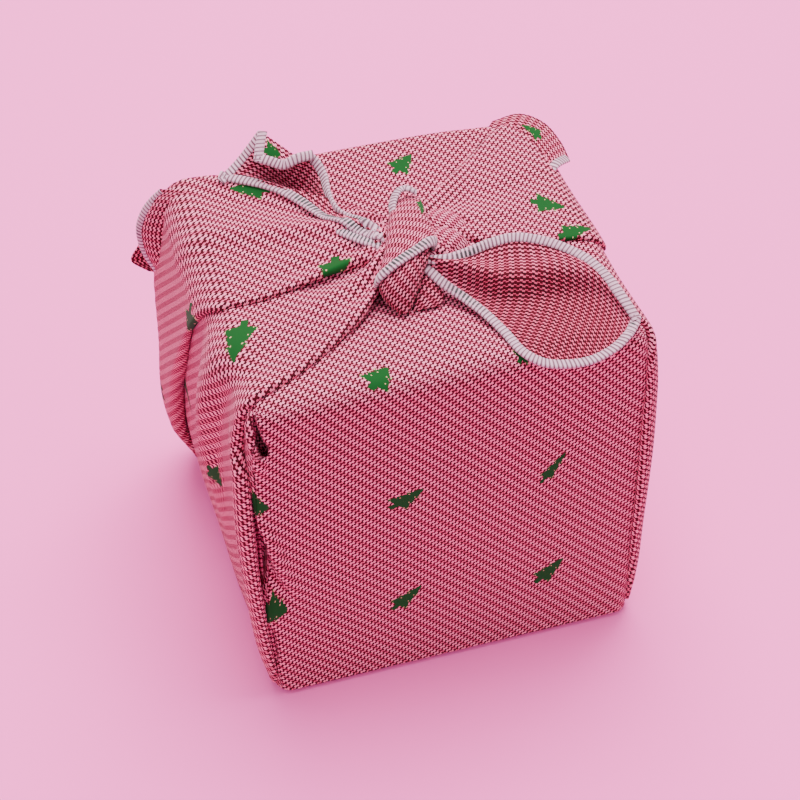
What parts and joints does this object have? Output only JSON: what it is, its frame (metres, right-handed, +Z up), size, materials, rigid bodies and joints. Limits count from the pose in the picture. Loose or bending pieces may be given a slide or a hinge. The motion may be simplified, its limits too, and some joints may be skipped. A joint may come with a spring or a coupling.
{
  "type": "furoshiki wrap on a box",
  "caption": "Square houndstooth wrapping cloth folded round a plain box, its side corners tied in a square knot on top with two free hemmed tails.",
  "frame": {"origin": "middle of the underside, on the surface the wrap stands on", "axes": "+X to the right along the front face, +Y to the back, +Z up through the knot"},
  "size_m": [0.1394, 0.1225, 0.1415],
  "materials": {
    "cloth": "matt woven cotton, crimson and off-white houndstooth with woven green fir trees and a white overlocked hem",
    "carton": "plain matt brown paperboard"
  },
  "bodies": {
    "root": {"cloth": "cloth", "box": "carton"}
  },
  "joints": []
}
